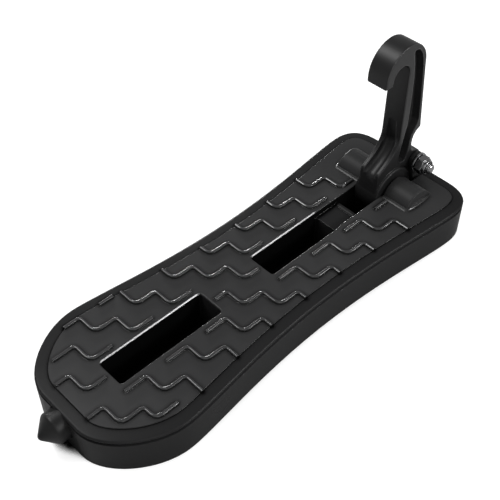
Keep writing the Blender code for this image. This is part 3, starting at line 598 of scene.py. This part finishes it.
def ringSurface(name, points, closed):
    # points[row, column] is a grid round an axis; columns wrap; rows wrap too if closed, and otherwise
    # both ends get a cap
    rows, columns = points.shape[:2]
    row = np.arange(rows if closed else rows - 1)[:, None]
    column = np.arange(columns)[None, :]
    after = (column + 1) % columns
    ahead = (row + 1) % rows
    corners = [row * columns + column, row * columns + after,
               ahead * columns + after, ahead * columns + column]
    faces = np.stack(corners, -1).reshape(-1, len(corners)).tolist()
    if not closed:
        faces.append(list(range(columns))[::-1])
        faces.append(list(range((rows - 1) * columns, rows * columns)))
    mesh = bpy.data.meshes.new(name)
    mesh.from_pydata(points.reshape(-1, 3).tolist(), [], faces)
    builder = bmesh.new()
    builder.from_mesh(mesh)
    bmesh.ops.recalc_face_normals(builder, faces=builder.faces)
    builder.to_mesh(mesh)
    builder.free()
    return linkPiece(name, mesh, ringCrease)


def roundAxis(distance, radius, angle, centre, axis):
    # point = centre + axis * distance + radius * (cos(angle) * side + sin(angle) * up), where side and
    # up are square to the axis
    side = np.roll(np.array(axis, float), 1)
    up = np.cross(axis, side)
    turn = np.cos(angle)[..., None] * side + np.sin(angle)[..., None] * up
    return np.array(centre) + distance[..., None] * np.array(axis) + radius[..., None] * turn


def turnedPiece(name, profile, centre, axis, columns, closed=False):
    # each row of the grid is one (distance, radius) pair of the profile, carried round the axis
    distance, radius = np.array(profile, float).T
    shape = np.ones((len(distance), columns))
    angle = roundAngles(columns)[None, :] * shape
    points = roundAxis(distance[:, None] * shape, radius[:, None] * shape, angle, centre, axis)
    return ringSurface(name, points, closed)


def spacedRows(pairs, step):
    # the profile's corners with further points between them, at most a step apart
    rows = [pairs[0]]
    for (d0, r0), (d1, r1) in zip(pairs[:-1], pairs[1:]):
        count = max(1, math.ceil(math.hypot(d1 - d0, r1 - r0) / step))
        rows += [(d0 + (d1 - d0) * k / count, r0 + (r1 - r0) * k / count) for k in range(1, count + 1)]
    return rows


# pin, tip and washers

mm = 0.001
boltCentre = (95.8 * mm, 0.0, 25.9 * mm)
pinSettings = {"centre": (81.5 * mm, 0.0, 16.1 * mm), "half": 18.93 * mm, "radius": 3.1 * mm,
               "chamfer": 0.5 * mm, "step": 2.0 * mm, "columns": 64}
# the tip's profile gives pairs of distance and radius in millimetres
tipSettings = {"centre": (-98.0 * mm, 0.0, 10.8 * mm), "columns": 96, "step": 0.1 * mm,
               "ringPitch": 0.42 * mm, "ringDepth": 0.02 * mm, "ringFrom": 1.5 * mm,
               "profile": ((-10.0, 0.33), (-9.83, 0.82), (-9.45, 1.32), (-4.9, 6.05), (-4.34, 6.46),
                           (-3.7, 6.6), (0.9, 6.6), (1.3, 6.2), (1.3, 3.0), (10.6, 3.0))}
washerSettings = {"inner": 2.85 * mm, "outer": 4.9 * mm, "near": 7.8 * mm, "far": 8.8 * mm,
                  "soft": 0.15 * mm, "cut": 0.3, "columns": 72}


def buildPin(settings):
    # a round bar with chamfered ends along Y
    half, radius, soft = settings["half"], settings["radius"], settings["chamfer"]
    profile = [(-half, radius - soft), (-half + soft, radius),
               (half - soft, radius), (half, radius - soft)]
    rows = spacedRows(profile, settings["step"])
    return turnedPiece("turnedPin", rows, settings["centre"], (0, 1, 0), settings["columns"])


def buildTip(settings):
    # the cone's profile carried round X; turning rings add depth * cos(2 pi * distance / pitch)
    profile = [(d * mm, r * mm) for d, r in settings["profile"]]
    rows = np.array(spacedRows(profile, settings["step"]))
    ring = np.cos(2 * math.pi * rows[:, 0] / settings["ringPitch"]) * settings["ringDepth"]
    rows[:, 1] += np.where(rows[:, 1] > settings["ringFrom"], ring, 0.0)
    return turnedPiece("turnedTip", rows, settings["centre"], (1, 0, 0), settings["columns"])


def buildWasher(name, side, settings):
    # a flat ring with softened rims, its section a closed loop of (distance, radius) pairs
    inner, outer, near, far = (settings[key] for key in ("inner", "outer", "near", "far"))
    soft = settings["soft"]
    cut = settings["cut"] * soft
    section = [(near, inner), (near, outer - soft), (near + cut, outer - cut), (near + soft, outer),
               (far - soft, outer), (far - cut, outer - cut), (far, outer - soft), (far, inner)]
    return turnedPiece(name, section, boltCentre, (0, side, 0), settings["columns"], True)


# bolt and nut

hexSettings = {"columns": 96, "halfFlats": 4.0 * mm, "coneStart": 3.9 * mm, "coneSlope": 1.6,
               "seat": 9.1 * mm, "top": 12.5 * mm,
               "chamferRows": 12, "chamferDepth": 0.4 * mm, "bias": 1.5}
# the dish in the bolt's head is given as pairs of depth share and radius
boltSettings = {"end": -15.8 * mm, "threadEnd": -8.0 * mm, "radius": 2.5 * mm, "pitch": 0.8 * mm,
                "rowsPerPitch": 10, "depth": 0.34 * mm, "endChamfer": 0.55 * mm, "seatGap": 0.01 * mm,
                "dishDepth": 0.25 * mm, "dish": ((0.0, 3.6), (0.4, 3.2), (1.0, 2.6), (1.0, 0.6))}
nutSettings = {"end": 13.9 * mm, "bore": 2.72 * mm, "boreChamfer": 0.4 * mm, "collar": 3.6 * mm,
               "collarFoot": 0.12 * mm, "dome": 0.7 * mm, "domeRows": 7,
               "lip": 0.25 * mm, "lipDepth": 0.3 * mm}


def hexBody(angle, hexes):
    # radius = the smaller of half flats / cos(angle from the nearest flat) and the chamfer cone's, which
    # is cone start + cone slope * distance from the nearer end; rows are closer at both ends by the bias
    seat, top = hexes["seat"], hexes["top"]
    share = np.linspace(0, 1, hexes["chamferRows"]) ** hexes["bias"] * hexes["chamferDepth"]
    distance = np.concatenate([seat + share, top - share[::-1]])
    cone = hexes["coneStart"] + hexes["coneSlope"] * np.minimum(distance - seat, top - distance)
    sixth = math.pi / 3
    away = (angle + 0.5 * sixth) % sixth - 0.5 * sixth
    radius = np.minimum(hexes["halfFlats"] / np.cos(away), cone[:, None])
    return distance[:, None] * np.ones_like(angle), radius


def profileRows(pairs, angle):
    # the pairs of distance and radius, each repeated over all columns
    distance, radius = np.array(pairs).T
    return distance[:, None] * np.ones_like(angle), radius[:, None] * np.ones_like(angle)


def stackedPiece(name, blocks, angle, axis, closed):
    # blocks of rows one after another, each a pair of distances and radii, carried round the bolt's axis
    distance = np.vstack([block[0] for block in blocks])
    radius = np.vstack([block[1] for block in blocks])
    return ringSurface(name, roundAxis(distance, radius, angle + 0 * distance, boltCentre, axis), closed)


def buildBolt(settings, hexes):
    # thread radius = bolt radius - depth * |2 * fraction(distance / pitch - angle / 2 pi) - 1|;
    # the shank, the hexagon and the dished head follow
    angle = roundAngles(hexes["columns"])[None, :]
    pitch, radius, end = settings["pitch"], settings["radius"], settings["end"]
    rows = np.arange(end, settings["threadEnd"], pitch / settings["rowsPerPitch"])
    distance = rows[:, None] + 0 * angle
    turn = (distance / pitch - angle / (2 * math.pi)) % 1.0
    thread = radius - settings["depth"] * np.abs(2 * turn - 1)
    thread = np.minimum(thread, radius - settings["endChamfer"] + (distance - end))
    fade = np.clip((settings["threadEnd"] - distance) / pitch, 0, 1)
    thread = radius - (radius - thread) * fade
    seat, top = hexes["seat"], hexes["top"]
    shank = [(seat - settings["seatGap"], radius), (seat, radius), (seat, hexes["coneStart"])]
    dish = [(top - share * settings["dishDepth"], r * mm) for share, r in settings["dish"]]
    blocks = [(distance, thread), profileRows(shank, angle), hexBody(angle, hexes),
              profileRows(dish, angle)]
    return stackedPiece("threadedBolt", blocks, angle, (0, 1, 0), False)


def buildNut(settings, hexes):
    # bore, seat face, chamfered hexagon, collar and back into the bore, as one closed section round Y;
    # the collar's dome is end - dome * (1 - sin(bend)) along and collar - dome * (1 - cos(bend)) out
    angle = roundAngles(hexes["columns"])[None, :]
    seat, top, end = hexes["seat"], hexes["top"], settings["end"]
    bore, collar, dome = settings["bore"], settings["collar"], settings["dome"]
    chamfer, foot = settings["boreChamfer"], settings["collarFoot"]
    bend = np.linspace(0, math.pi / 2, settings["domeRows"])
    rounded = np.stack([end - dome + dome * np.sin(bend), collar - dome + dome * np.cos(bend)], 1)
    blocks = [
        profileRows([(seat + chamfer, bore), (seat, bore + chamfer)], angle),
        hexBody(angle, hexes),
        profileRows([(top, collar + foot), (top + foot, collar)], angle),
        profileRows(rounded, angle),
        profileRows([(end, bore + settings["lip"]), (end - settings["lipDepth"], bore)], angle),
    ]
    return stackedPiece("collarNut", blocks, angle, (0, -1, 0), True)


finishPiece(buildPin(pinSettings), "step", "hinge_pin", "zincSteel")
finishPiece(buildTip(tipSettings), "step", "breaker_tip", "darkSteel")
finishPiece(buildWasher("washerNear", -1, washerSettings), "hook", "heel_washer_near", "zincSteel")
finishPiece(buildWasher("washerFar", 1, washerSettings), "hook", "heel_washer_far", "zincSteel")
finishPiece(buildBolt(boltSettings, hexSettings), "hook", "heel_bolt", "zincSteel")
finishPiece(buildNut(nutSettings, hexSettings), "hook", "heel_nut", "zincSteel")
print("pin, tip, bolt, nut and washers made")


# end

print("scene built")
